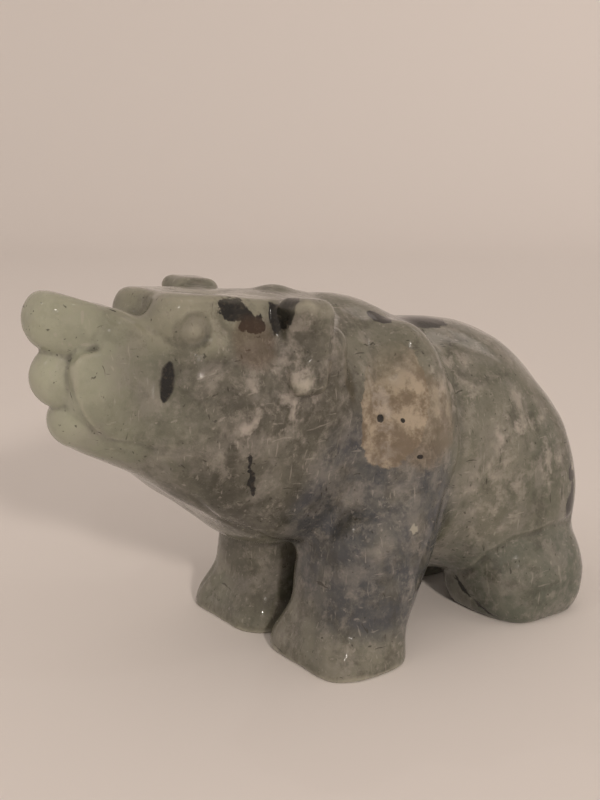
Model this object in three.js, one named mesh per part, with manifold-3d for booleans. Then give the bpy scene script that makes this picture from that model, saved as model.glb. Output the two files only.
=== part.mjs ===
// A small bear carved from one piece of polished gemstone, standing on four flat soles with its nose raised.
// It faces -Y, its left side is +X and its feet stand on z = 0. The carving is one closed stone solid.
import * as THREE from 'three';
import { mergeVertices } from 'three/addons/utils/BufferGeometryUtils.js';
import Module from 'manifold-3d';

// Driving dimensions, in millimetres. The form below keeps its pose and proportions as shares of the length.
const bearLength = 100;
const findingCell = 1.7;
const facetCount = 8800;

// The blank is this share of the length deeper than the finished carving, and is sawn off flat at the soles.
const sawnOff = 0.04;

// Two forms run into each other over a fillet of the given width, or one is cut from another with a soft edge.
const filled = (a, b, width) => {
  const overlap = Math.max(width - Math.abs(a - b), 0) / width;
  return Math.min(a, b) - (overlap * overlap * width) / 4;
};
const kept = (a, b, width) => -filled(-a, -b, width);
const carvedOut = (a, tool, width) => kept(a, -tool, width);

// Every form is a function of a point in shares of the length: below 0 inside the stone, above 0 outside it.
// A nod turns the form about the X axis, nose end down for a positive angle in degrees.
function nodded(centre, nod, shape) {
  const cos = Math.cos(THREE.MathUtils.degToRad(nod));
  const sin = Math.sin(THREE.MathUtils.degToRad(nod));
  return (x, y, z) => {
    const ahead = y - centre[1];
    const above = z - centre[2];
    return shape(x - centre[0], cos * ahead + sin * above, cos * above - sin * ahead);
  };
}

function egg(centre, radii, nod = 0) {
  return nodded(centre, nod, (x, y, z) => {
    const reach = Math.hypot(x / radii[0], y / radii[1], z / radii[2]);
    const slope = Math.hypot(x / radii[0] ** 2, y / radii[1] ** 2, z / radii[2] ** 2) + 1e-9;
    return (reach * (reach - 1)) / slope;
  });
}

function block(centre, half, rounding, nod = 0) {
  return nodded(centre, nod, (x, y, z) => {
    const past = [x, y, z].map((value, axis) => Math.abs(value) - half[axis] + rounding);
    const outside = Math.hypot(Math.max(past[0], 0), Math.max(past[1], 0), Math.max(past[2], 0));
    return outside + Math.min(Math.max(...past), 0) - rounding;
  });
}

// A bar with round ends runs from one point to another and may change its radius on the way. The spread widens
// its section from side to side.
function bar(from, to, fromRadius, toRadius, spread) {
  const run = [(to[0] - from[0]) / spread, to[1] - from[1], to[2] - from[2]];
  const square = run.reduce((sum, value) => sum + value * value, 0);
  return (x, y, z) => {
    const p = [(x - from[0]) / spread, y - from[1], z - from[2]];
    const along = THREE.MathUtils.clamp((p[0] * run[0] + p[1] * run[1] + p[2] * run[2]) / square, 0, 1);
    const off = Math.hypot(p[0] - along * run[0], p[1] - along * run[1], p[2] - along * run[2]);
    return off - fromRadius - (toRadius - fromRadius) * along;
  };
}

// Trunk: a deep barrel with a heavier rump. Paired forms are made once and taken on both sides.
const barrel = egg([0, 0.17, 0.325], [0.195, 0.27, 0.215]);
const rump = egg([0, 0.312, 0.277], [0.21, 0.193, 0.225], -8);
const shoulder = egg([0.118, 0.085, 0.34], [0.098, 0.1, 0.21], -4);
const haunch = egg([0.13, 0.365, 0.2], [0.1, 0.135, 0.2], -5);

// Legs: short columns on feet rounded like pebbles, the front ones a little flared on the ground.
const foreleg = block([0.118, -0.006, 0.1], [0.1, 0.076, 0.16], 0.062, -8);
const calf = egg([0.125, 0.04, 0.17], [0.088, 0.1, 0.17], -20);
const frontFoot = block([0.12, -0.043, 0], [0.108, 0.073, 0.05], 0.048);
const hock = egg([0.14, 0.381, 0.095], [0.095, 0.113, 0.125], 8);
const hindFoot = block([0.14, 0.364, 0.058], [0.11, 0.102, 0.078], 0.066);

// Neck: thick, with a hump over the shoulders, a chest that overhangs the forelegs and a ridge by each ear.
const neck = bar([0, 0.06, 0.39], [0, -0.1, 0.41], 0.17, 0.185, 0.95);
const nape = egg([0, 0.01, 0.46], [0.13, 0.165, 0.128], 10);
const chest = egg([0, -0.11, 0.315], [0.15, 0.14, 0.13], -34);
const crest = egg([0, -0.075, 0.575], [0.04, 0.045, 0.037]);
const ruff = bar([0.155, -0.09, 0.53], [0.14, -0.07, 0.43], 0.035, 0.03, 1);

// Skull: cut flat on top, where it falls a little to the nape and has a shallow trough, with heavy cheeks.
const skull = egg([0, -0.16, 0.465], [0.155, 0.175, 0.19]);
const cheek = egg([0.06, -0.2, 0.38], [0.085, 0.17, 0.12], -32);
const forehead = block([0, -0.21, 0.52], [0.095, 0.103, 0.12], 0.04);
const brow = egg([0.062, -0.296, 0.585], [0.034, 0.032, 0.03]);
const topFront = [-0.29, 0.617];
const topFall = 0.09;
const headTop = (y, z) => z - topFront[1] + topFall * (y - topFront[0]);
const trough = egg([0, -0.19, 0.665], [0.075, 0.15, 0.06]);

// Muzzle: raised to the level of the brow, with drooping upper lips over a narrower jaw and a wedge of a nose.
const snout = block([0, -0.338, 0.488], [0.07, 0.11, 0.088], 0.04, -22);
const flew = egg([0.052, -0.4, 0.468], [0.032, 0.09, 0.047], -56);
const lip = egg([0, -0.44, 0.503], [0.042, 0.062, 0.052]);
const jaw = bar([0, -0.2, 0.355], [0, -0.435, 0.434], 0.088, 0.041, 1.2);
const noseWedge = block([0, -0.43, 0.568], [0.06, 0.085, 0.045], 0.02, -19);
const noseTip = egg([0, -0.425, 0.578], [0.058, 0.085, 0.06], -14);

// Ears: upright knobs scooped out in front, the right one a little further forward. Eyes: buttons in a ring.
const leftEar = block([0.152, -0.13, 0.535], [0.043, 0.034, 0.073], 0.022, -6);
const rightEar = block([-0.152, -0.15, 0.545], [0.043, 0.042, 0.073], 0.022, -6);
const earHollow = egg([0.208, -0.172, 0.55], [0.042, 0.042, 0.055]);
const eyeRing = egg([0.106, -0.288, 0.566], [0.013, 0.027, 0.027]);
const eye = egg([0.09, -0.284, 0.566], [0.013, 0.02, 0.02]);

function bearForm(x, y, z) {
  const side = Math.sqrt(x * x + 1e-6);
  const here = (form) => form(x, y, z);
  const both = (form) => form(side, y, z);

  let body = filled(here(barrel), here(rump), 0.08);
  body = filled(body, both(shoulder), 0.025);
  body = filled(body, filled(both(foreleg), both(calf), 0.04), 0.04);
  body = filled(body, both(frontFoot), 0.05);
  body = filled(body, both(haunch), 0.04);
  body = filled(body, filled(both(hock), both(hindFoot), 0.05), 0.012);
  body = filled(body, filled(here(neck), here(nape), 0.04), 0.03);
  body = filled(body, here(chest), 0.04);

  let muzzle = filled(filled(here(snout), both(flew), 0.014), here(lip), 0.008);
  muzzle = filled(muzzle, here(jaw), 0.006);
  let head = filled(filled(here(skull), both(cheek), 0.06), here(forehead), 0.03);
  head = filled(head, muzzle, 0.03);
  head = filled(head, kept(here(noseWedge), here(noseTip), 0.014), 0.008);
  head = filled(head, both(brow), 0.03);
  head = kept(head, headTop(y, z), 0.012);
  head = carvedOut(head, here(trough), 0.01);

  body = filled(body, head, 0.03);
  body = filled(body, here(crest), 0.01);
  body = filled(body, both(ruff), 0.02);
  const ears = carvedOut(filled(here(leftEar), here(rightEar), 0.002), both(earHollow), 0.02);
  body = filled(body, ears, 0.012);
  body = carvedOut(body, both(eyeRing), 0.006);
  body = filled(body, both(eye), 0.006);
  return kept(body, -sawnOff - z, 0.01);
}

function lines(from, to, spacing) {
  const steps = Math.ceil((to - from) / spacing);
  return Array.from({ length: steps + 1 }, (_, step) => from + ((to - from) * step) / steps);
}

// The form is felt out in rough steps first, so that the box of fine cells runs a little past it on every side.
const farOut = 0.75;
const roughStep = 0.025;
function reachOf(form) {
  const reach = new THREE.Box3();
  const rough = lines(-farOut, farOut, roughStep);
  rough.forEach((x) => rough.forEach((y) => rough.forEach((z) => {
    if (form(x, y, z) < 2 * roughStep) reach.expandByPoint(new THREE.Vector3(x, y, z));
  })));
  return reach;
}

// Every cell is split into six wedges round the diagonal from its first corner to its last, so that there is
// never a doubt which way the surface runs through it.
const cellCorners = [[0, 0, 0], [1, 0, 0], [0, 1, 0], [1, 1, 0], [0, 0, 1], [1, 0, 1], [0, 1, 1], [1, 1, 1]];
const wedges = [[0, 1, 3, 7], [0, 1, 5, 7], [0, 2, 3, 7], [0, 2, 6, 7], [0, 4, 5, 7], [0, 4, 6, 7]];
const nearestToCorner = 0.05;

function surfaceOf(form) {
  const { min, max } = reachOf(form);
  const cell = findingCell / bearLength;
  const across = lines(min.x, max.x, cell);
  const along = lines(min.y, max.y, cell);
  const upward = lines(min.z, max.z, cell);
  const nodeAt = (i, j, k) => (k * along.length + j) * across.length + i;
  const corners = [];
  upward.forEach((z) => along.forEach((y) => across.forEach((x) => {
    corners.push({ place: new THREE.Vector3(x, y, z), value: form(x, y, z) });
  })));

  const points = [];
  const triangles = [];
  const pointOnEdge = new Map();
  const pointBetween = (inner, outer) => {
    const key = Math.min(inner, outer) * corners.length + Math.max(inner, outer);
    if (!pointOnEdge.has(key)) {
      const [start, end] = [corners[inner], corners[outer]];
      const drop = start.value / (start.value - end.value);
      const part = THREE.MathUtils.clamp(drop, nearestToCorner, 1 - nearestToCorner);
      pointOnEdge.set(key, points.length);
      points.push(start.place.clone().lerp(end.place, part));
    }
    return pointOnEdge.get(key);
  };
  const addFacet = (facet, inner, outer) => {
    const [a, b, c] = facet.map((index) => points[index]);
    const outward = corners[outer].place.clone().sub(corners[inner].place);
    const normal = b.clone().sub(a).cross(c.clone().sub(a));
    triangles.push(normal.dot(outward) > 0 ? facet : [facet[0], facet[2], facet[1]]);
  };

  for (let k = 0; k < upward.length - 1; k += 1) {
    for (let j = 0; j < along.length - 1; j += 1) {
      for (let i = 0; i < across.length - 1; i += 1) {
        const nodes = cellCorners.map(([a, b, c]) => nodeAt(i + a, j + b, k + c));
        const inside = nodes.filter((node) => corners[node].value < 0).length;
        if (inside === 0 || inside === nodes.length) continue;
        wedges.forEach((wedge) => {
          const inner = wedge.map((corner) => nodes[corner]).filter((node) => corners[node].value < 0);
          const outer = wedge.map((corner) => nodes[corner]).filter((node) => corners[node].value >= 0);
          if (inner.length === 0 || outer.length === 0) return;
          const rim = inner.flatMap((start) => outer.map((end) => pointBetween(start, end)));
          addFacet(rim.slice(0, 3), inner[0], outer[0]);
          if (rim.length === 4) addFacet(rim.slice(1), inner[0], outer[0]);
        });
      }
    }
  }
  return { points, triangles };
}

// A point is set back on the surface by steps down the form's own slope.
const probe = 1e-4;
const settles = 3;
const leastSlope = 0.25;
function settled(point, form) {
  const p = point.clone();
  for (let turn = 0; turn < settles; turn += 1) {
    const slope = new THREE.Vector3(
      form(p.x + probe, p.y, p.z) - form(p.x - probe, p.y, p.z),
      form(p.x, p.y + probe, p.z) - form(p.x, p.y - probe, p.z),
      form(p.x, p.y, p.z + probe) - form(p.x, p.y, p.z - probe),
    ).divideScalar(2 * probe);
    p.addScaledVector(slope, -form(p.x, p.y, p.z) / Math.max(slope.lengthSq(), leastSlope));
  }
  return p;
}

// Each point drifts to the middle of its neighbours and back to the surface, so the facets are of like shape.
function evened({ points, triangles }, form, turns) {
  const neighbours = points.map(() => new Set());
  triangles.forEach((corners) => corners.forEach((corner, turn) => {
    neighbours[corner].add(corners[(turn + 1) % 3]);
  }));
  let places = points;
  for (let turn = 0; turn < turns; turn += 1) {
    places = places.map((place, index) => {
      const middle = new THREE.Vector3();
      neighbours[index].forEach((other) => middle.add(places[other]));
      middle.divideScalar(neighbours[index].size);
      return settled(middle.add(place).divideScalar(2), form);
    });
  }
  return { points: places, triangles };
}

// Facets are merged edge by edge, the flattest places first, until the wanted number is left. The error of a
// merged point is its summed squared distance to the planes of all the facets that it has come to stand for.
const stretchCost = 2e-3;
const sharePerRound = 0.12;
const leastTurn = 0.35;
function planeError(planes, p) {
  const [xx, xy, xz, xw, yy, yz, yw, zz, zw, ww] = planes;
  return p.x * (xx * p.x + 2 * (xy * p.y + xz * p.z + xw)) + p.y * (yy * p.y + 2 * (yz * p.z + yw))
    + p.z * (zz * p.z + 2 * zw) + ww;
}

function thinned({ points, triangles }, form, wanted) {
  const places = points.slice();
  const planes = points.map(() => new Array(10).fill(0));
  const facing = (a, b, c) => b.clone().sub(a).cross(c.clone().sub(a));
  triangles.forEach((corners) => {
    const normal = facing(...corners.map((corner) => places[corner]));
    const area = normal.length();
    if (area === 0) return;
    const { x, y, z } = normal.divideScalar(area);
    const w = -normal.dot(places[corners[0]]);
    const terms = [x * x, x * y, x * z, x * w, y * y, y * z, y * w, z * z, z * w, w * w];
    corners.forEach((corner) => terms.forEach((term, at) => {
      planes[corner][at] += term * area;
    }));
  });

  let facets = triangles;
  while (facets.length > wanted) {
    const around = new Map();
    facets.forEach((facet) => facet.forEach((corner) => {
      if (!around.has(corner)) around.set(corner, []);
      around.get(corner).push(facet);
    }));
    const beside = (corner) => new Set(around.get(corner).flat());

    const merges = [];
    facets.forEach((facet) => facet.forEach((a, turn) => {
      const b = facet[(turn + 1) % 3];
      if (a > b) return;
      const both = planes[a].map((term, at) => term + planes[b][at]);
      const stretch = stretchCost * places[a].distanceToSquared(places[b]) ** 2;
      const choices = [places[a], places[b], places[a].clone().add(places[b]).divideScalar(2)];
      const costs = choices.map((choice) => planeError(both, choice) + stretch);
      const best = costs.indexOf(Math.min(...costs));
      merges.push({ a, b, both, cost: costs[best], place: choices[best], middle: best === 2 });
    }));
    merges.sort((one, other) => one.cost - other.cost);

    const busy = new Set();
    const standsFor = new Map();
    let left = facets.length;
    const most = Math.ceil(merges.length * sharePerRound);
    for (const { a, b, both, place, middle } of merges.slice(0, most)) {
      if (left <= wanted) break;
      const nearA = beside(a);
      const nearB = beside(b);
      const shared = [...nearA].filter((corner) => corner !== a && corner !== b && nearB.has(corner));
      if (shared.length !== 2 || [...nearA, ...nearB].some((corner) => busy.has(corner))) continue;
      const goal = middle ? settled(place, form) : place;
      const folds = [...around.get(a), ...around.get(b)].some((facet) => {
        if (facet.includes(a) && facet.includes(b)) return false;
        const before = facing(...facet.map((corner) => places[corner])).normalize();
        const after = facing(...facet.map((corner) => (corner === a || corner === b ? goal : places[corner])));
        return before.dot(after) <= leastTurn * after.length() || after.length() === 0;
      });
      if (folds) continue;
      nearA.forEach((corner) => busy.add(corner));
      nearB.forEach((corner) => busy.add(corner));
      places[a] = goal;
      planes[a] = both;
      standsFor.set(b, a);
      left -= 2;
    }
    if (standsFor.size === 0) break;
    facets = facets.map((facet) => facet.map((corner) => standsFor.get(corner) ?? corner));
    facets = facets.filter(([a, b, c]) => a !== b && b !== c && c !== a);
  }

  const used = [...new Set(facets.flat())];
  const newIndex = new Map(used.map((corner, index) => [corner, index]));
  return {
    points: used.map((corner) => places[corner]),
    triangles: facets.map((facet) => facet.map((corner) => newIndex.get(corner))),
  };
}

const wasm = await Module();
wasm.setup();

function solid(points, triangles) {
  return new wasm.Manifold(new wasm.Mesh({
    numProp: 3,
    vertProperties: new Float32Array(points.flatMap((point) => point.toArray())),
    triVerts: new Uint32Array(triangles.flat()),
  }));
}

function solidOf(geometry) {
  geometry.deleteAttribute('normal');
  geometry.deleteAttribute('uv');
  const merged = mergeVertices(geometry);
  const places = merged.getAttribute('position');
  const pointAt = (_, index) => new THREE.Vector3().fromBufferAttribute(places, index);
  const points = Array.from({ length: places.count }, pointAt);
  return solid(points, [Array.from(merged.index.array)]);
}

const fineTurns = 3;
const lastTurns = 1;
const fine = evened(surfaceOf(bearForm), bearForm, fineTurns);
const { points, triangles } = evened(thinned(fine, bearForm, facetCount), bearForm, lastTurns);
const blank = solid(points.map((point) => point.multiplyScalar(bearLength)), triangles);
const sawCut = new THREE.BoxGeometry(bearLength, 2 * bearLength, bearLength);
sawCut.translate(0, 0, -bearLength / 2);
const carving = blank.subtract(solidOf(sawCut)).getMesh();

const geometry = new THREE.BufferGeometry();
geometry.setAttribute('position', new THREE.BufferAttribute(carving.vertProperties, 3));
geometry.setIndex(new THREE.BufferAttribute(carving.triVerts, 1));
geometry.computeBoundingBox();
const middle = geometry.boundingBox.getCenter(new THREE.Vector3());
geometry.translate(-middle.x, -middle.y, 0);
geometry.computeVertexNormals();

const polishedStone = new THREE.MeshStandardMaterial({ color: 0x7b7a6b, roughness: 0.22, metalness: 0 });
const bear = new THREE.Mesh(geometry, polishedStone);
bear.name = 'bear';

const model = new THREE.Group();
model.add(bear);
export default model;
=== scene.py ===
import bpy
import numpy as np
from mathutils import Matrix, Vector


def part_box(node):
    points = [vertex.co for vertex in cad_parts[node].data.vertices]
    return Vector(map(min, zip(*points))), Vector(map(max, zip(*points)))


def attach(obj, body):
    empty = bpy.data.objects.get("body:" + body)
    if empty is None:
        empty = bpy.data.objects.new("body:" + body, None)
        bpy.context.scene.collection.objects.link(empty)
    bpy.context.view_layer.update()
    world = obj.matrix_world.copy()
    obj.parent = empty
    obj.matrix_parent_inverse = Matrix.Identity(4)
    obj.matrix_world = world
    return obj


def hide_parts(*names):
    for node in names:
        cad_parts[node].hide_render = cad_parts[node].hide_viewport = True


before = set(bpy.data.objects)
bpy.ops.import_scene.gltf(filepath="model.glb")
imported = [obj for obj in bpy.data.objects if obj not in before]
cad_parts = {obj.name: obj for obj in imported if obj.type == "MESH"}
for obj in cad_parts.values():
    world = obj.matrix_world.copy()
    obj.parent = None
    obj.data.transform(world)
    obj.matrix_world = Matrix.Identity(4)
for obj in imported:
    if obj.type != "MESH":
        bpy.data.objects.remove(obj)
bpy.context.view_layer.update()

# The carving: one lump of gemstone, ground with wheels into a standing bear with a raised nose, and polished.
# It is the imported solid's set of forms, worked out again on cells of about half a millimetre, with the finer
# cuts of the small wheel that the faceted solid leaves out. All measures are shares of the bear's length.
sole_level = 0.0
cell = 0.0052
coarse_step = 4
box_low = (-0.27, -0.53, -0.03)
box_high = (0.27, 0.53, 0.65)


def filled(a, b, width):
    overlap = np.maximum(width - np.abs(a - b), 0) / width
    return np.minimum(a, b) - overlap * overlap * width / 4


def kept(a, b, width):
    return -filled(-a, -b, width)


def carved_out(a, tool, width):
    return kept(a, -tool, width)


def nodded(at, centre, nod):
    cos, sin = np.cos(np.radians(nod)), np.sin(np.radians(nod))
    ahead, above = at[1] - centre[1], at[2] - centre[2]
    return at[0] - centre[0], cos * ahead + sin * above, cos * above - sin * ahead


def egg(at, centre, radii, nod=0):
    x, y, z = nodded(at, centre, nod)
    span = np.sqrt((x / radii[0]) ** 2 + (y / radii[1]) ** 2 + (z / radii[2]) ** 2)
    slope = np.sqrt((x / radii[0] ** 2) ** 2 + (y / radii[1] ** 2) ** 2 + (z / radii[2] ** 2) ** 2) + 1e-9
    return span * (span - 1) / slope


def block(at, centre, half, rounding, nod=0):
    past = [np.abs(value) - size + rounding for value, size in zip(nodded(at, centre, nod), half)]
    outside = np.sqrt(sum(np.maximum(value, 0) ** 2 for value in past))
    inside = np.minimum(np.maximum(np.maximum(past[0], past[1]), past[2]), 0)
    return outside + inside - rounding


def bar(at, start, end, start_radius, end_radius, spread=1.0):
    run = ((end[0] - start[0]) / spread, end[1] - start[1], end[2] - start[2])
    x, y, z = (at[0] - start[0]) / spread, at[1] - start[1], at[2] - start[2]
    along = np.clip((x * run[0] + y * run[1] + z * run[2]) / sum(part * part for part in run), 0, 1)
    off = np.sqrt((x - along * run[0]) ** 2 + (y - along * run[1]) ** 2 + (z - along * run[2]) ** 2)
    return off - start_radius - (end_radius - start_radius) * along


def trunk_and_legs(at, pair):
    body = filled(
        egg(at, (0, 0.17, 0.325), (0.195, 0.27, 0.215)),
        egg(at, (0, 0.312, 0.277), (0.21, 0.193, 0.225), -8),
        0.08,
    )
    body = filled(body, egg(pair, (0.118, 0.085, 0.34), (0.098, 0.1, 0.21), -4), 0.025)
    foreleg = filled(
        block(pair, (0.118, -0.006, 0.1), (0.1, 0.076, 0.16), 0.062, -8),
        egg(pair, (0.125, 0.04, 0.17), (0.088, 0.1, 0.17), -20),
        0.04,
    )
    body = filled(body, foreleg, 0.04)
    body = filled(body, block(pair, (0.12, -0.043, 0), (0.108, 0.073, 0.05), 0.048), 0.05)
    body = filled(body, egg(pair, (0.13, 0.365, 0.2), (0.1, 0.135, 0.2), -5), 0.04)
    hind_leg = filled(
        egg(pair, (0.14, 0.381, 0.095), (0.095, 0.113, 0.125), 8),
        block(pair, (0.14, 0.364, 0.058), (0.11, 0.102, 0.078), 0.066),
        0.05,
    )
    return filled(body, hind_leg, 0.012)


def neck(at):
    throat = bar(at, (0, 0.06, 0.39), (0, -0.1, 0.41), 0.17, 0.185, 0.95)
    return filled(throat, egg(at, (0, 0.01, 0.46), (0.13, 0.165, 0.128), 10), 0.04)


def head(at, pair):
    muzzle = filled(
        block(at, (0, -0.338, 0.488), (0.07, 0.11, 0.088), 0.04, -22),
        egg(pair, (0.052, -0.4, 0.468), (0.032, 0.09, 0.047), -56),
        0.014,
    )
    muzzle = filled(muzzle, egg(at, (0, -0.44, 0.503), (0.042, 0.062, 0.052)), 0.008)
    muzzle = filled(muzzle, bar(at, (0, -0.2, 0.355), (0, -0.435, 0.434), 0.088, 0.041, 1.2), 0.006)
    skull = filled(
        egg(at, (0, -0.16, 0.465), (0.155, 0.175, 0.19)),
        egg(pair, (0.06, -0.2, 0.38), (0.085, 0.17, 0.12), -32),
        0.06,
    )
    skull = filled(skull, block(at, (0, -0.21, 0.52), (0.095, 0.103, 0.12), 0.04), 0.03)
    skull = filled(skull, muzzle, 0.03)
    nose = kept(
        block(at, (0, -0.43, 0.568), (0.06, 0.085, 0.045), 0.02, -19),
        egg(at, (0, -0.425, 0.578), (0.058, 0.085, 0.06), -14),
        0.014,
    )
    skull = filled(skull, nose, 0.008)
    skull = filled(skull, egg(pair, (0.062, -0.296, 0.585), (0.034, 0.032, 0.03)), 0.03)
    skull = kept(skull, at[2] - 0.617 + 0.09 * (at[1] + 0.29), 0.012)
    return carved_out(skull, egg(at, (0, -0.19, 0.665), (0.075, 0.15, 0.06)), 0.01)


def ears(at, pair):
    knobs = filled(
        block(at, (0.152, -0.13, 0.535), (0.043, 0.034, 0.073), 0.022, -6),
        block(at, (-0.152, -0.15, 0.545), (0.043, 0.042, 0.073), 0.022, -6),
        0.002,
    )
    return carved_out(knobs, egg(pair, (0.208, -0.172, 0.55), (0.042, 0.042, 0.055)), 0.02)


def bear_form(at):
    pair = (np.sqrt(at[0] * at[0] + 1e-6), at[1], at[2])
    body = filled(trunk_and_legs(at, pair), neck(at), 0.03)
    body = filled(body, egg(at, (0, -0.11, 0.315), (0.15, 0.14, 0.13), -34), 0.04)
    body = filled(body, head(at, pair), 0.03)
    body = filled(body, egg(at, (0, -0.075, 0.575), (0.04, 0.045, 0.037)), 0.01)
    body = filled(body, bar(pair, (0.155, -0.09, 0.53), (0.14, -0.07, 0.43), 0.035, 0.03), 0.02)
    body = filled(body, ears(at, pair), 0.012)
    body = carved_out(body, egg(pair, (0.106, -0.288, 0.566), (0.013, 0.027, 0.027)), 0.006)
    body = filled(body, egg(pair, (0.09, -0.284, 0.566), (0.013, 0.02, 0.02)), 0.006)
    return kept(body, sole_level - at[2], 0.006)


# The wheel's finer cuts: each is a line of points on the skin, with the depth and half width of its groove. A
# depth below nothing is a raised rim.
wheel_cuts = [
    # From the jaw down the throat to the top of the foreleg.
    (
        [(0.096, -0.292, 0.3125), (0.077, -0.24, 0.264), (0.087, -0.166, 0.224), (0.077, -0.079, 0.186)],
        0.0035,
        0.006,
    ),
    # The curl at the point of the shoulder.
    (
        [(0.170, -0.016, 0.279), (0.188, -0.008, 0.267), (0.202, 0.0135, 0.263), (0.208, 0.038, 0.278)],
        0.004,
        0.005,
    ),
    ([(0.208, 0.038, 0.278), (0.2144, 0.075, 0.292)], 0.002, 0.006),
    # The waist behind the shoulder.
    (
        [(0.168, 0.184, 0.438), (0.191, 0.175, 0.385), (0.2, 0.169, 0.324), (0.198, 0.156, 0.286)],
        0.006,
        0.009,
    ),
    ([(0.198, 0.156, 0.286), (0.201, 0.129, 0.26), (0.202, 0.114, 0.216)], 0.003, 0.008),
    # The fold between ear and shoulder.
    ([(0.119, 0.024, 0.533), (0.146, 0.017, 0.497), (0.159, 0.009, 0.467)], 0.004, 0.006),
    # Toes of the forefoot.
    ([(0.138, -0.092, 0.0745), (0.163, -0.115, 0.0275)], 0.0022, 0.0045),
    ([(0.176, -0.085, 0.081), (0.199, -0.1065, 0.032)], 0.0022, 0.0045),
    # The hind foot against the haunch, and its first toe.
    (
        [(0.122, 0.25, 0.072), (0.186, 0.258, 0.128), (0.213, 0.291, 0.156), (0.229, 0.369, 0.169)],
        0.006,
        0.007,
    ),
    ([(0.229, 0.369, 0.169), (0.215, 0.44, 0.17)], 0.004, 0.007),
    ([(0.106, 0.253, 0.067), (0.145, 0.259, 0.031), (0.192, 0.276, 0.005)], 0.002, 0.005),
    # The corner of the mouth.
    ([(0.0614, -0.407, 0.41), (0.079, -0.358, 0.394), (0.108, -0.33, 0.391)], 0.0035, 0.005),
    # The raised rim of the upper lip, and the fine groove under the nose.
    (
        [(0.060, -0.455, 0.520), (0.062, -0.462, 0.490), (0.062, -0.448, 0.455), (0.060, -0.428, 0.430)],
        -0.0022,
        0.004,
    ),
    (
        [(0.0, -0.502, 0.548), (0.030, -0.495, 0.540), (0.052, -0.462, 0.532), (0.058, -0.425, 0.548)],
        0.004,
        0.005,
    ),
    # The chipped stop in front of the eye, and the ridge line of the bridge.
    ([(0.077, -0.324, 0.552), (0.085, -0.312, 0.545)], 0.004, 0.005),
    ([(0.0487, -0.384, 0.595), (0.0555, -0.3606, 0.582), (0.073, -0.33, 0.56)], 0.0025, 0.004),
]


def groove(at, points, depth, half_width):
    near = np.full_like(at[0], 1.0)
    for start, end in zip(points, points[1:]):
        near = np.minimum(near, bar(at, start, end, 0, 0))
    return depth * np.exp(-((near / half_width) ** 2))


# Hand grinding leaves the polished skin slightly uneven, in waves up to about 0.1 mm high that run all ways.
# Each has how fast it waves across, along and upward, and where it starts.
wave_steepness = 0.018
wave_lines = [
    ((31, 17, 11), 0.3),
    ((-19, 37, 13), 1.9),
    ((12, -23, 41), 4.1),
    ((47, 9, -28), 2.6),
    ((-33, -41, 22), 5.2),
    ((58, -35, -17), 0.9),
    ((21, 66, -39), 3.4),
    ((-44, 27, 61), 5.9),
    ((113, 74, -52), 1.1),
    ((-68, 95, 101), 2.2),
    ((91, -102, 66), 4.7),
    ((-125, -38, -84), 0.4),
]


def finished_form(at):
    pair = (np.abs(at[0]), at[1], at[2])
    form = bear_form(at)
    for points, depth, half_width in wheel_cuts:
        form = form + groove(pair, points, depth, half_width)
    for (across, along, upward), start in wave_lines:
        size = wave_steepness / np.sqrt(across**2 + along**2 + upward**2)
        form = form + size * np.sin(across * at[0] + along * at[1] + upward * at[2] + start)
    return form


def slope_of(form, at, probe=3e-4):
    slope = []
    for axis in range(3):
        ahead = [value + probe * (axis == other) for other, value in enumerate(at)]
        behind = [value - probe * (axis == other) for other, value in enumerate(at)]
        slope.append((form(ahead) - form(behind)) / (2 * probe))
    return slope


def spread_out(blocks, times):
    for axis in range(3):
        blocks = np.repeat(blocks, times, axis)
    return blocks


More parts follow.
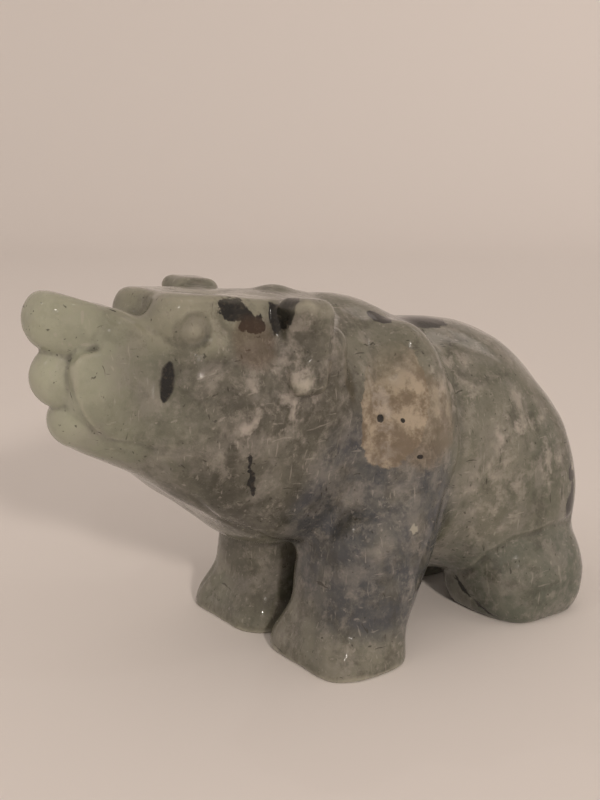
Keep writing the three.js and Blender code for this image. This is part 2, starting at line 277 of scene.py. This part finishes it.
def skin_of(form, low, high, size, step, safe_steps=2.2):
    # Coarse cells find where the skin runs, and only the fine cells near it are worked out.
    ticks = [np.arange(a, b + size * step, size) for a, b in zip(low, high)]
    ticks = [tick[: (len(tick) - 1) // step * step + 1] for tick in ticks]
    within = tuple(slice(len(tick)) for tick in ticks)
    rough = form(np.meshgrid(*[tick[::step] for tick in ticks], indexing="ij"))
    values = spread_out(np.where(rough > 0, 1.0, -1.0), step)[within].copy()
    wanted = spread_out(np.abs(rough) < size * step * safe_steps, step)
    grown = np.zeros_like(wanted)
    half = step // 2
    grown[half:, half:, half:] = wanted[:-half, :-half, :-half]
    i, j, k = np.nonzero((wanted | grown)[within])
    values[i, j, k] = form([ticks[0][i], ticks[1][j], ticks[2][k]])

    # Each fine cell that the skin passes through gets one point, at the mean of where its edges are crossed.
    inside = values < 0
    ends = (slice(None, -1), slice(1, None))
    count = sum(inside[a, b, c].astype(np.int8) for a in ends for b in ends for c in ends)
    cells = np.argwhere((count > 0) & (count < 8))
    number = np.full(count.shape, -1)
    number[tuple(cells.T)] = np.arange(len(cells))
    total = np.zeros((len(cells), 3))
    met = np.zeros(len(cells))
    for axis in range(3):
        others = [other for other in range(3) if other != axis]
        for a in (0, 1):
            for b in (0, 1):
                start = cells.copy()
                start[:, others[0]] += a
                start[:, others[1]] += b
                end = start.copy()
                end[:, axis] += 1
                first, last = values[tuple(start.T)], values[tuple(end.T)]
                crossed = (first < 0) != (last < 0)
                part = np.where(crossed, first / np.where(crossed, first - last, 1), 0)
                spot = start.astype(float)
                spot[:, axis] += part
                total[crossed] += spot[crossed]
                met[crossed] += 1
    places = total / met[:, None]
    places = np.stack([ticks[axis][0] + places[:, axis] * size for axis in range(3)], 1)

    # Each crossed edge gives one face between the points of the four cells about it.
    faces = []
    for axis in range(3):
        u, v = (axis + 1) % 3, (axis + 2) % 3
        first = np.take(inside, range(inside.shape[axis] - 1), axis)
        last = np.take(inside, range(1, inside.shape[axis]), axis)
        for leaving, order in ((first & ~last, (0, 1, 2, 3)), (~first & last, (3, 2, 1, 0))):
            edge = np.argwhere(leaving)
            ring = []
            for du, dv in ((-1, -1), (0, -1), (0, 0), (-1, 0)):
                around = edge.copy()
                around[:, u] += du
                around[:, v] += dv
                ring.append(number[tuple(around.T)])
            faces.append(np.stack([ring[turn] for turn in order], 1))
    return places, np.concatenate(faces)


def settled(places, form, turns, least_slope=0.5):
    # The points slide along the form's slope until they lie on the form itself.
    for _ in range(turns):
        at = [places[:, axis] for axis in range(3)]
        slope = np.stack(slope_of(form, at), 1)
        steep = np.maximum((slope * slope).sum(1), least_slope**2)
        places = places - slope * (form(at) / steep)[:, None]
    return places


places, faces = skin_of(finished_form, box_low, box_high, cell, coarse_step)
places = settled(places, finished_form, 2)
places[:, 2] = np.maximum(places[:, 2], sole_level)

# The frame's own box gives the real length and the place to stand.
solid_low, solid_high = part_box("bear")
spans = places.max(0) - places.min(0)
length = (solid_high.y - solid_low.y) / spans[1]
middle = (places.max(0) + places.min(0)) / 2
places = (places - [middle[0], middle[1], 0]) * length
places += [(solid_low.x + solid_high.x) / 2, (solid_low.y + solid_high.y) / 2, solid_low.z]
skin = bpy.data.meshes.new("bear_carving")
skin.from_pydata(places.tolist(), [], faces.tolist())
skin.validate()
skin.polygons.foreach_set("use_smooth", [True] * len(skin.polygons))
carving = bpy.data.objects.new("bear_carving", skin)
bpy.context.scene.collection.objects.link(carving)

# The stone: translucent grey-green gemstone, polished. Its colours lie at places inside the lump, so that
# veins and spots run on round every side, as where a wheel cuts through them. Places are shares of the bear's
# length, as the forms above are.
def sockets(group, ways, kinds):
    for name, kind in kinds.items():
        group.interface.new_socket(name, in_out=ways, socket_type="NodeSocket" + kind)


def joined(tree, kind, inputs, **settings):
    node = tree.nodes.new("ShaderNode" + kind)
    for name, value in settings.items():
        setattr(node, name, value)
    for name, value in inputs.items():
        socket = node.inputs[name]
        if isinstance(value, bpy.types.NodeSocket):
            tree.links.new(value, socket)
        else:
            socket.default_value = value
    return node


def maths(tree, operation, *values, clamp=False):
    inputs = dict(enumerate(values))
    return joined(tree, "Math", inputs, operation=operation, use_clamp=clamp).outputs[0]


def arrows(tree, operation, *values):
    node = joined(tree, "VectorMath", dict(enumerate(values)), operation=operation)
    return node.outputs["Value" if operation in ("LENGTH", "DOT_PRODUCT", "DISTANCE") else "Vector"]


def scaled(tree, arrow, share):
    return joined(tree, "VectorMath", {0: arrow, "Scale": share}, operation="SCALE").outputs["Vector"]


def ramp(tree, value, low, high):
    inputs = {"Value": value, "From Min": low, "From Max": high}
    return joined(tree, "MapRange", inputs, interpolation_type="SMOOTHSTEP").outputs["Result"]


def grain(tree, place, scale, detail=3.0, roughness=0.55):
    inputs = {"Vector": place, "Scale": scale, "Detail": detail, "Roughness": roughness}
    return joined(tree, "TexNoise", inputs).outputs["Fac"]


def wandered(tree, place, scale, roughness, amount):
    inputs = {"Vector": place, "Scale": scale, "Detail": 3.0, "Roughness": roughness}
    noise = joined(tree, "TexNoise", inputs).outputs["Color"]
    drift = arrows(tree, "SUBTRACT", noise, (0.5, 0.5, 0.5))
    return arrows(tree, "ADD", place, scaled(tree, drift, amount))


def tinted(tree, amount, under, over):
    # The mix node has sockets for each kind of value: the colours are 6 and 7 going in, and 2 coming out.
    return joined(tree, "Mix", {0: amount, 6: under, 7: over}, data_type="RGBA").outputs[2]


# A lump of another mineral grown in the stone: 1 inside an egg about its centre, with a ragged edge.
lump = bpy.data.node_groups.new("mineral_lump", "ShaderNodeTree")
sockets(lump, "INPUT", {"Place": "Vector", "Centre": "Vector", "Half": "Vector", "Turn": "Vector"})
sockets(lump, "INPUT", {"Edge": "Float", "Rag": "Float", "Fineness": "Float"})
sockets(lump, "OUTPUT", {"Mask": "Float"})
given = lump.nodes.new("NodeGroupInput").outputs
away = arrows(lump, "SUBTRACT", given["Place"], given["Centre"])
turned = joined(lump, "VectorRotate", {"Vector": away, "Rotation": given["Turn"]}, rotation_type="EULER_XYZ")
span = arrows(lump, "LENGTH", arrows(lump, "DIVIDE", turned.outputs["Vector"], given["Half"]))
ragged = maths(lump, "SUBTRACT", grain(lump, given["Place"], given["Fineness"], 5.0, 0.7), 0.5)
span = maths(lump, "ADD", span, maths(lump, "MULTIPLY", ragged, given["Rag"]))
outer = maths(lump, "ADD", 1.0, given["Edge"])
mask = ramp(lump, span, outer, 1.0)
lump.links.new(mask, lump.nodes.new("NodeGroupOutput").inputs["Mask"])

# A healed crack or a vein: 1 along a run between two places, wavering a little and thinning to both ends.
vein = bpy.data.node_groups.new("thin_vein", "ShaderNodeTree")
sockets(vein, "INPUT", {"Place": "Vector", "From": "Vector", "To": "Vector"})
sockets(vein, "INPUT", {"Half Width": "Float", "Waver": "Float"})
sockets(vein, "OUTPUT", {"Mask": "Float"})
given = vein.nodes.new("NodeGroupInput").outputs
spot = wandered(vein, given["Place"], 75.0, 0.5, given["Waver"])
run = arrows(vein, "SUBTRACT", given["To"], given["From"])
off = arrows(vein, "SUBTRACT", spot, given["From"])
run_squared = arrows(vein, "DOT_PRODUCT", run, run)
part = maths(vein, "DIVIDE", arrows(vein, "DOT_PRODUCT", off, run), run_squared, clamp=True)
gap = arrows(vein, "DISTANCE", off, scaled(vein, run, part))
from_middle = maths(vein, "SUBTRACT", maths(vein, "MULTIPLY", part, 2.0), 1.0)
taper = maths(vein, "SUBTRACT", 1.12, maths(vein, "MULTIPLY", from_middle, from_middle))
width_here = maths(vein, "MULTIPLY", given["Half Width"], taper)
mask = ramp(vein, maths(vein, "DIVIDE", gap, width_here), 1.0, 0.6)
vein.links.new(mask, vein.nodes.new("NodeGroupOutput").inputs["Mask"])

stone = bpy.data.materials.new("polished_stone")
stone.use_nodes = True
tree = stone.node_tree
shader = tree.nodes["Principled BSDF"]
where = tree.nodes.new("ShaderNodeTexCoord").outputs["Object"]
shift = (middle[0] * length, middle[1] * length, 0)
place = scaled(tree, arrows(tree, "ADD", where, shift), 1 / length)
parts = joined(tree, "SeparateXYZ", {"Vector": place}).outputs
flowing = wandered(tree, place, 9.0, 0.6, 0.035)


def lump_at(centre, half, turn=(0, 0, 0), edge=0.15, rag=0.5, fineness=30.0):
    inputs = {"Place": place, "Centre": centre, "Half": half, "Turn": np.radians(turn).tolist()}
    inputs.update({"Edge": edge, "Rag": rag, "Fineness": fineness})
    return joined(tree, "Group", inputs, node_tree=lump).outputs["Mask"]


def vein_at(start, end, half_width, waver=0.01):
    inputs = {"Place": place, "From": start, "To": end, "Half Width": half_width, "Waver": waver}
    return joined(tree, "Group", inputs, node_tree=vein).outputs["Mask"]


def most_of(masks):
    total = masks[0]
    for mask in masks[1:]:
        total = maths(tree, "MAXIMUM", total, mask)
    return total


def stained(under, mask, strength, over):
    return tinted(tree, maths(tree, "MULTIPLY", mask, strength), under, over)


# Body of the stone: grey-green, browner in the head, blue-grey at the shoulder, greener at the hind foot
# and paler on the far side, with painted shade in dark brown between the forelegs.
deep_grey_green = (0.090, 0.096, 0.071, 1)
pale_grey_green = (0.148, 0.147, 0.115, 1)
smoky_brown = (0.036, 0.032, 0.024, 1)
blue_grey = (0.035, 0.041, 0.056, 1)
moss_green = (0.080, 0.096, 0.078, 1)
light_green = (0.170, 0.175, 0.135, 1)
painted_shade_brown = (0.055, 0.050, 0.038, 1)
mottle = ramp(tree, grain(tree, flowing, 5.0, 4.0), 0.35, 0.65)
body_colour = tinted(tree, mottle, deep_grey_green, pale_grey_green)
brown_head = lump_at((0.13, -0.20, 0.40), (0.16, 0.15, 0.15), edge=0.6, rag=0.8, fineness=8.0)
body_colour = stained(body_colour, brown_head, 0.75, smoky_brown)
blue_shoulder = lump_at((0.17, 0.0, 0.22), (0.12, 0.12, 0.16), edge=0.45, rag=0.6, fineness=7.0)
body_colour = stained(body_colour, blue_shoulder, 0.8, blue_grey)
green_foot = lump_at((0.14, 0.36, 0.06), (0.16, 0.15, 0.10), edge=0.5, rag=0.7, fineness=9.0)
body_colour = stained(body_colour, green_foot, 0.6, moss_green)
far_side = ramp(tree, parts["X"], 0.04, -0.12)
body_colour = stained(body_colour, far_side, 0.5, light_green)
# Painted shade: the chest and the inner sides of the forelegs darkened brown, where shade falls between them.
painted_shade_between_legs = lump_at((-0.05, -0.06, 0.15), (0.09, 0.09, 0.10), edge=0.5, rag=0.5, fineness=12.0)
body_colour = stained(body_colour, painted_shade_between_legs, 0.6, painted_shade_brown)

# Clouds and mottling: soft blotches and fine speckle, clearing towards the pale snout and nose. Haze, dusk,
# milk and soot read the grain at a shift of their own, so that they don't fall together.
snout_green = (0.225, 0.237, 0.180, 1)
nose_green = (0.400, 0.420, 0.330, 1)
forehead_green = (0.240, 0.240, 0.185, 1)
cloud_grey = (0.215, 0.208, 0.172, 1)
haze_grey = (0.225, 0.213, 0.190, 1)
dusk_brown = (0.040, 0.038, 0.027, 1)
milk_white = (0.300, 0.282, 0.245, 1)
speckle_white = (0.32, 0.31, 0.27, 1)
soot_black = (0.030, 0.028, 0.020, 1)
ahead = maths(tree, "ADD", parts["Y"], maths(tree, "MULTIPLY", grain(tree, place, 10.0), 0.12))
clear = ramp(tree, ahead, -0.20, -0.40)
clouded = maths(tree, "SUBTRACT", 1.0, maths(tree, "MULTIPLY", clear, 0.75))
cloud = ramp(tree, grain(tree, flowing, 13.0, 7.0, 0.68), 0.40, 0.64)
body_colour = stained(body_colour, cloud, 0.36, cloud_grey)
body_colour = stained(body_colour, clear, 0.9, snout_green)
haze_place = arrows(tree, "ADD", place, (7.7, 0.4, 2.9))
haze = ramp(tree, grain(tree, haze_place, 16.0, 6.0, 0.62), 0.48, 0.62)
body_colour = stained(body_colour, haze, 0.40, haze_grey)
nose_end = ramp(tree, ahead, -0.33, -0.44)
body_colour = stained(body_colour, nose_end, 0.55, nose_green)
forehead = lump_at((0.06, -0.270, 0.605), (0.12, 0.095, 0.060), edge=0.6, rag=0.6, fineness=14.0)
body_colour = stained(body_colour, forehead, 0.8, forehead_green)
dusk_place = arrows(tree, "ADD", flowing, (3.1, 1.7, 0.4))
dusk = ramp(tree, grain(tree, dusk_place, 18.0, 8.0, 0.72), 0.48, 0.64)
body_colour = stained(body_colour, maths(tree, "MULTIPLY", dusk, clouded), 0.50, dusk_brown)
milk_place = arrows(tree, "ADD", flowing, (0.6, 5.2, 2.3))
milk = ramp(tree, grain(tree, milk_place, 36.0, 8.0, 0.75), 0.50, 0.66)
body_colour = stained(body_colour, maths(tree, "MULTIPLY", milk, clouded), 0.36, milk_white)
speckle = ramp(tree, grain(tree, place, 130.0, 5.0, 0.8), 0.56, 0.74)
body_colour = stained(body_colour, speckle, 0.30, speckle_white)
soot_place = arrows(tree, "ADD", place, (1.3, 0.2, 4.4))
soot = ramp(tree, grain(tree, soot_place, 95.0, 6.0, 0.8), 0.56, 0.72)
body_colour = stained(body_colour, maths(tree, "MULTIPLY", soot, clouded), 0.40, soot_black)


# Mineral needles, pale and dark, that lie all ways through the stone: the grain drawn out along one way.
def needles(turn, scale, stretch, low, high):
    inputs = {"Vector": flowing, "Rotation": np.radians(turn).tolist(), "Scale": stretch}
    lying = joined(tree, "Mapping", inputs).outputs["Vector"]
    return ramp(tree, grain(tree, lying, scale, 2.0, 0.5), low, high)


needle_white = (0.34, 0.32, 0.28, 1)
needle_black = (0.022, 0.020, 0.014, 1)
pale_needles = most_of([
    needles((20, 40, 10), 130.0, (1, 1, 0.12), 0.66, 0.74),
    needles((70, -30, 60), 120.0, (1, 0.12, 1), 0.66, 0.74),
    needles((-40, 10, 35), 150.0, (1, 1, 0.10), 0.67, 0.74),
])
body_colour = stained(body_colour, pale_needles, 0.35, needle_white)
dark_needles = most_of([
    needles((-35, 15, 80), 110.0, (1, 1, 0.10), 0.69, 0.75),
    needles((10, 75, -20), 120.0, (0.1, 1, 1), 0.69, 0.75),
    needles((55, 25, 15), 140.0, (1, 0.1, 1), 0.70, 0.76),
])
body_colour = stained(body_colour, dark_needles, 0.7, needle_black)

# Tan patch on the left shoulder, with a sharp lower and front edge, and fading up and back into the stone.
honey_brown = (0.150, 0.116, 0.076, 1)
pale_tan = (0.350, 0.300, 0.225, 1)
patch = lump_at((0.18, 0.030, 0.430), (0.11, 0.052, 0.100), (14, 0, 0), 0.06, 0.45, 40.0)
patch_back = lump_at((0.19, 0.075, 0.400), (0.11, 0.060, 0.062), (0, 0, 0), 0.5, 0.7, 30.0)
patch = maths(tree, "MAXIMUM", patch, maths(tree, "MULTIPLY", patch_back, 0.7))
tan_mottle = ramp(tree, grain(tree, place, 26.0, 6.0, 0.7), 0.40, 0.60)
tan = tinted(tree, tan_mottle, honey_brown, pale_tan)
high = maths(tree, "SUBTRACT", parts["Z"], maths(tree, "MULTIPLY", parts["Y"], 0.4))
patch = maths(tree, "MULTIPLY", patch, ramp(tree, high, 0.52, 0.42))
body_colour = stained(body_colour, patch, 0.85, tan)

# White wisps of healed cracks on the back, rump, flank, face, ear, patch, shoulder and foreleg. Each has its
# middle, its half sizes and its strength.
wisp_places = [
    ((0.165, 0.165, 0.455), (0.06, 0.060, 0.040), 1.0),
    ((0.207, 0.275, 0.356), (0.05, 0.026, 0.020), 1.0),
    ((0.225, 0.365, 0.290), (0.05, 0.024, 0.032), 1.0),
    ((0.210, 0.245, 0.240), (0.05, 0.040, 0.075), 0.8),
    ((0.215, 0.330, 0.380), (0.05, 0.030, 0.045), 0.8),
    ((0.160, -0.212, 0.418), (0.05, 0.026, 0.014), 1.0),
    ((0.150, -0.170, 0.470), (0.05, 0.045, 0.040), 0.8),
    ((0.175, -0.135, 0.520), (0.05, 0.030, 0.060), 0.7),
    ((0.181, 0.010, 0.440), (0.05, 0.010, 0.060), 0.9),
    ((0.110, -0.240, 0.440), (0.08, 0.080, 0.060), 0.35),
    ((0.180, 0.010, 0.310), (0.06, 0.060, 0.035), 0.45),
    ((0.205, 0.020, 0.180), (0.05, 0.050, 0.060), 0.30),
]
crack_white = (0.40, 0.37, 0.33, 1)
torn = ramp(tree, grain(tree, flowing, 34.0, 8.0, 0.62), 0.46, 0.66)
for centre, half, strength in wisp_places:
    wisp = maths(tree, "MULTIPLY", lump_at(centre, half, edge=0.7, rag=0.9, fineness=26.0), torn)
    body_colour = stained(body_colour, wisp, 0.55 * strength, crack_white)

# Black crystals with brown in them, splits in the stone, and one dark line of painted shade at the hind foot.
crystal_and_shade_black = (0.001, 0.0015, 0.0015, 1)
crystal_and_shade_brown = (0.040, 0.033, 0.023, 1)
rust_brown = (0.085, 0.045, 0.022, 1)
dark_masks = [
    # The corner of the eye, the brow and the ear.
    vein_at((0.083, -0.320, 0.530), (0.097, -0.341, 0.461), 0.0125, 0.006),
    lump_at((0.106, -0.224, 0.592), (0.03, 0.021, 0.017), (20, 0, 0), 0.15, 2.4, 55.0),
    lump_at((0.124, -0.202, 0.572), (0.03, 0.019, 0.017), (20, 0, 0), 0.15, 2.4, 55.0),
    lump_at((0.138, -0.160, 0.590), (0.030, 0.0085, 0.036), (14, 0, 0), 0.12, 1.1, 70.0),
    lump_at((0.146, -0.152, 0.606), (0.022, 0.014, 0.012), (0, 0, 0), 0.12, 1.1, 70.0),
    # The neck, the back and the rump.
    lump_at((0.092, 0.072, 0.556), (0.030, 0.018, 0.010), (24, 0, 0), 0.12, 0.9, 50.0),
    lump_at((0.030, 0.185, 0.543), (0.060, 0.078, 0.020), (12, 0, 0), 0.10, 0.6, 50.0),
    lump_at((0.215, 0.436, 0.255), (0.03, 0.014, 0.014), (0, 0, 0), 0.2, 1.1, 70.0),
    lump_at((0.214, 0.437, 0.228), (0.03, 0.006, 0.014), (0, 0, 0), 0.2, 1.1, 70.0),
    lump_at((0.217, 0.431, 0.195), (0.03, 0.018, 0.022), (0, 0, 0), 0.2, 1.1, 70.0),
    # Specks in and under the tan patch.
    lump_at((0.175, 0.0064, 0.4085), (0.02, 0.0045, 0.006), (0, 0, 0), 0.2, 0.8, 90.0),
    lump_at((0.198, 0.036, 0.405), (0.02, 0.003, 0.0035), (0, 0, 0), 0.2, 0.8, 90.0),
    lump_at((0.200, 0.060, 0.345), (0.02, 0.007, 0.0045), (0, 0, 0), 0.2, 0.8, 90.0),
    # The split down the cheek, and a line of painted shade in the groove at the front of the hind foot.
    vein_at((0.153, -0.228, 0.396), (0.149, -0.227, 0.352), 0.0050, 0.018),
    vein_at((0.149, -0.226, 0.362), (0.138, -0.212, 0.309), 0.0070, 0.020),
    vein_at((0.138, -0.212, 0.316), (0.092, -0.160, 0.224), 0.0018, 0.018),
    # Painted shade: the gap at the front of the hind foot, painted as dark as the crystals.
    vein_at((0.100, 0.255, 0.065), (0.145, 0.259, 0.031), 0.006, 0.02),
    vein_at((0.145, 0.259, 0.031), (0.196, 0.276, 0.008), 0.007, 0.02),
    # Hair-thin needles on the snout.
    vein_at((0.049, -0.384, 0.596), (0.058, -0.352, 0.578), 0.0018, 0.006),
    vein_at((0.040, -0.400, 0.603), (0.049, -0.372, 0.588), 0.0016, 0.006),
    vein_at((0.050, -0.402, 0.590), (0.058, -0.388, 0.572), 0.0014, 0.006),
    vein_at((0.060, -0.452, 0.520), (0.063, -0.440, 0.512), 0.0018, 0.004),
    vein_at((0.076, -0.370, 0.540), (0.075, -0.364, 0.528), 0.0018, 0.004),
]
dark_mottle = ramp(tree, grain(tree, place, 120.0, 4.0, 0.7), 0.50, 0.72)
crystal_and_shade_colour = tinted(tree, dark_mottle, crystal_and_shade_black, crystal_and_shade_brown)
body_colour = stained(body_colour, most_of(dark_masks), 0.96, crystal_and_shade_colour)
rust = lump_at((0.136, -0.205, 0.545), (0.04, 0.024, 0.030), edge=0.7, rag=1.0, fineness=40.0)
body_colour = stained(body_colour, rust, 0.35, rust_brown)

# Each eye has painted shade in the carved ring round it, and painted light on its button, which is painted
# paler.
painted_shade_ring_brown = (0.060, 0.058, 0.044, 1)
painted_light_button_grey = (0.260, 0.250, 0.205, 1)
eye_out = 0.092
for eye_side in (eye_out, -eye_out):
    # Painted shade in the carved ring; painted light on the button below.
    ring = lump_at((eye_side, -0.287, 0.566), (0.03, 0.027, 0.027), edge=0.25, rag=0.4, fineness=50.0)
    body_colour = stained(body_colour, ring, 0.35, painted_shade_ring_brown)
    button = lump_at((eye_side, -0.285, 0.566), (0.03, 0.019, 0.019), edge=0.25, rag=0.4, fineness=50.0)
    body_colour = stained(body_colour, button, 0.30, painted_light_button_grey)

# Painted light and shade: convex edges are painted lighter, for the light that thin polished edges let
# through and catch, and creases are painted darker, as painted shade.
painted_edge_light_white = (0.40, 0.39, 0.32, 1)
painted_crease_shade_brown = (0.045, 0.044, 0.034, 1)
bend = tree.nodes.new("ShaderNodeNewGeometry").outputs["Pointiness"]
body_colour = stained(body_colour, ramp(tree, bend, 0.505, 0.56), 0.55, painted_edge_light_white)
body_colour = stained(body_colour, ramp(tree, bend, 0.49, 0.44), 0.55, painted_crease_shade_brown)
tree.links.new(body_colour, shader.inputs["Base Color"])

# The polish: a high gloss, a little uneven where the wheel has pressed less.
gloss = ramp(tree, grain(tree, place, 30.0, 4.0, 0.6), 0.3, 0.8)
roughness = maths(tree, "ADD", 0.07, maths(tree, "MULTIPLY", gloss, 0.10))
tree.links.new(roughness, shader.inputs["Roughness"])
ripples = grain(tree, place, 60.0, 4.0, 0.6)
bump = joined(tree, "Bump", {"Strength": 0.25, "Distance": 0.0002, "Height": ripples})
tree.links.new(bump.outputs["Normal"], shader.inputs["Normal"])
shader.inputs["IOR"].default_value = 1.6
shader.inputs["Specular IOR Level"].default_value = 0.38
shader.inputs["Subsurface Weight"].default_value = 0.5
shader.inputs["Subsurface Radius"].default_value = (1.0, 1.0, 0.8)
shader.inputs["Subsurface Scale"].default_value = 0.002
skin.materials.append(stone)

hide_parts("bear")
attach(carving, "root")

# The paper sweep: one long sheet of smooth off-white paper, laid flat on the table under the carving and bent
# up behind it in an easy curve.
paper = bpy.data.materials.new("paper")
paper.use_nodes = True
paper_shader = paper.node_tree.nodes["Principled BSDF"]
paper_shader.inputs["Base Color"].default_value = (0.78, 0.76, 0.74, 1)
paper_shader.inputs["Roughness"].default_value = 0.85
paper_half_width = 3.0
paper_front = -2.0
paper_reach = 0.85
curve_radius = 0.5
wall_height = 2.5
back_way = np.array((-0.8, 0.6, 0.0))
side_way = np.array((-0.6, -0.8, 0.0))
profile = [(paper_front, 0.0)]
for turn in np.linspace(0, np.pi / 2, 24):
    profile.append((paper_reach + curve_radius * np.sin(turn), curve_radius * (1 - np.cos(turn))))
profile.append((paper_reach + curve_radius, wall_height))
sweep_points = []
for away, up in profile:
    for side in (-paper_half_width, paper_half_width):
        sweep_points.append((back_way * away + side_way * side + [0.0, 0.0, up]).tolist())
sweep_faces = [(2 * row, 2 * row + 1, 2 * row + 3, 2 * row + 2) for row in range(len(profile) - 1)]
sweep_mesh = bpy.data.meshes.new("paper_sweep")
sweep_mesh.from_pydata(sweep_points, [], sweep_faces)
sweep_mesh.polygons.foreach_set("use_smooth", [True] * len(sweep_faces))
sweep_mesh.materials.append(paper)
sweep = bpy.data.objects.new("paper_sweep", sweep_mesh)
bpy.context.scene.collection.objects.link(sweep)

# The lamps: the warm light of the room, weaker from above, and a soft lamp at the bear's left front that
# throws the long faint shadow. Another lights the paper behind, and four small bulbs glint in the polish.
room = bpy.data.worlds.new("room")
room.use_nodes = True
room_tree = room.node_tree
room_light = room_tree.nodes["Background"].inputs
room_light["Color"].default_value = (1.0, 0.845, 0.745, 1)
heading = room_tree.nodes.new("ShaderNodeTexCoord").outputs["Generated"]
upward = joined(room_tree, "SeparateXYZ", {"Vector": heading}).outputs["Z"]
glow = {"Value": upward, "From Min": 0.0, "From Max": 1.0, "To Min": 0.76, "To Max": 0.48}
room_tree.links.new(joined(room_tree, "MapRange", glow).outputs["Result"], room_light["Strength"])
bpy.context.scene.world = room


def stood_lamp(name, power, size, colour, location, aim):
    lamp = bpy.data.lights.new(name, "AREA")
    lamp.energy = power
    lamp.size = size
    lamp.color = colour
    stand = bpy.data.objects.new(name, lamp)
    stand.location = location
    stand.rotation_euler = (Vector(aim) - stand.location).to_track_quat("-Z", "Y").to_euler()
    bpy.context.scene.collection.objects.link(stand)
    return stand


soft_lamp = stood_lamp("soft_lamp", 6.0, 0.09, (1.0, 0.86, 0.76), (1.0, -0.33, 0.46), (0, 0, 0.03))
soft_lamp.visible_glossy = False
stood_lamp("wall_lamp", 0.8, 0.5, (1.0, 0.87, 0.80), (-0.20, 0.95, 0.75), (-0.55, 1.15, 0.05))
for bulb_place in ((0.62, -0.42, 0.50), (0.10, -0.75, 0.80), (-0.55, -0.30, 0.85), (0.45, 0.30, 0.95)):
    bulb = bpy.data.lights.new("ceiling_bulb", "POINT")
    bulb.energy = 0.7
    bulb.shadow_soft_size = 0.006
    bulb.color = (1.0, 0.93, 0.86)
    bulb_holder = bpy.data.objects.new("ceiling_bulb", bulb)
    bulb_holder.location = bulb_place
    bpy.context.scene.collection.objects.link(bulb_holder)

# The camera: held in the hand about 0.18 m from the bear at its left front, a little above the height of its
# back, and tipped down a little.
lens = bpy.data.cameras.new("camera")
lens.lens = 49.5
lens.sensor_width = 36
lens.clip_start = 0.01
camera = bpy.data.objects.new("camera", lens)
camera.location = (0.14693, -0.11096, 0.08)
camera.rotation_euler = (np.radians(78), 0, np.radians(53.5))
bpy.context.scene.collection.objects.link(camera)
bpy.context.scene.camera = camera

bpy.context.scene.view_settings.view_transform = "Standard"
